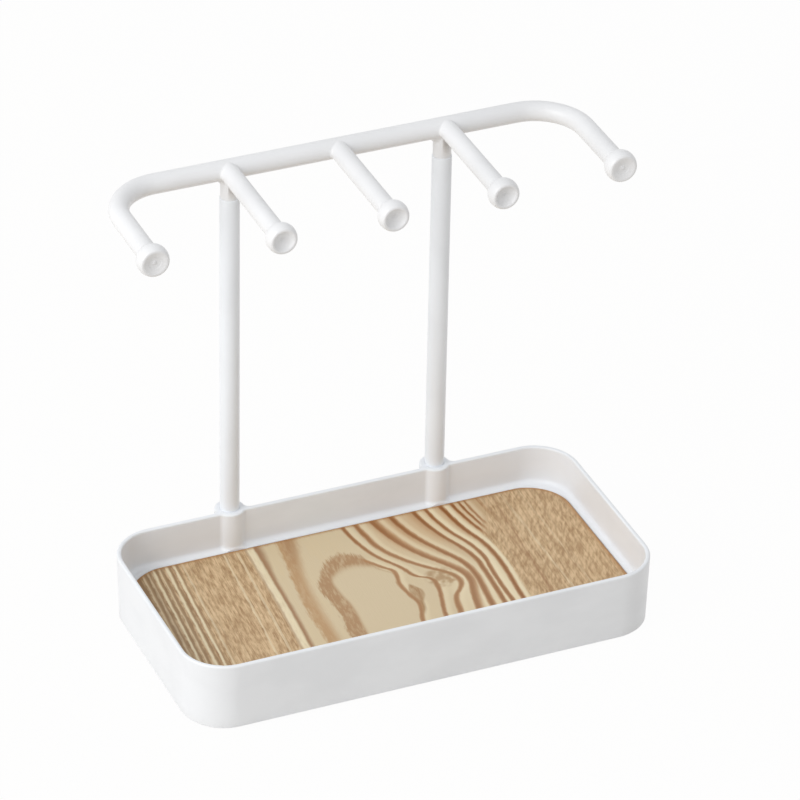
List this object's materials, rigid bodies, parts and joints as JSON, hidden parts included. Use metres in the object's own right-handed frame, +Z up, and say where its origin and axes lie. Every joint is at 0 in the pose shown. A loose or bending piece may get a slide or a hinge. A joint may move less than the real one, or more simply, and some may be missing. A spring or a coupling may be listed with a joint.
{
  "type": "jewelry stand",
  "caption": "Free-standing jewellery stand: a rounded white tray with a wood-grain board, round posts and a top bar whose forward arms end in dished knobs for necklaces.",
  "frame": {"origin": "on the surface that the stand rests on, below the middle of its footprint's bounding box", "axes": "+X along the tray to the viewer's right, +Y from the open front to the posts at the back, +Z up"},
  "size_m": [0.2588, 0.138, 0.2427],
  "materials": {
    "white_plastic": "satin moulded plastic",
    "wood_board": "matt wood grain",
    "white_post": "white powder coat",
    "white_rack": "satin moulded plastic",
    "foot_pad": "matt"
  },
  "bodies": {
    "base": {"tray": "white_plastic", "front_left_foot": "foot_pad", "back_left_foot": "foot_pad", "front_right_foot": "foot_pad", "back_right_foot": "foot_pad"},
    "board": {"wood_board": "wood_board"},
    "posts": {"left_post": "white_post", "right_post": "white_post"},
    "rack": {"hook_bar": "white_rack", "left_end_knob": "white_rack", "left_knob": "white_rack", "middle_knob": "white_rack", "right_knob": "white_rack", "right_end_knob": "white_rack"}
  },
  "joints": [
    {"name": "board_lift", "type": "slide", "parent": "base", "child": "board", "axis": [0, 0, 1], "range_m": [0, 0.05]},
    {"name": "post_lift", "type": "slide", "parent": "base", "child": "posts", "axis": [0, 0, 1], "range_m": [0, 0.04]},
    {"name": "bar_lift", "type": "slide", "parent": "posts", "child": "rack", "axis": [0, 0, 1], "range_m": [0, 0.02]}
  ]
}
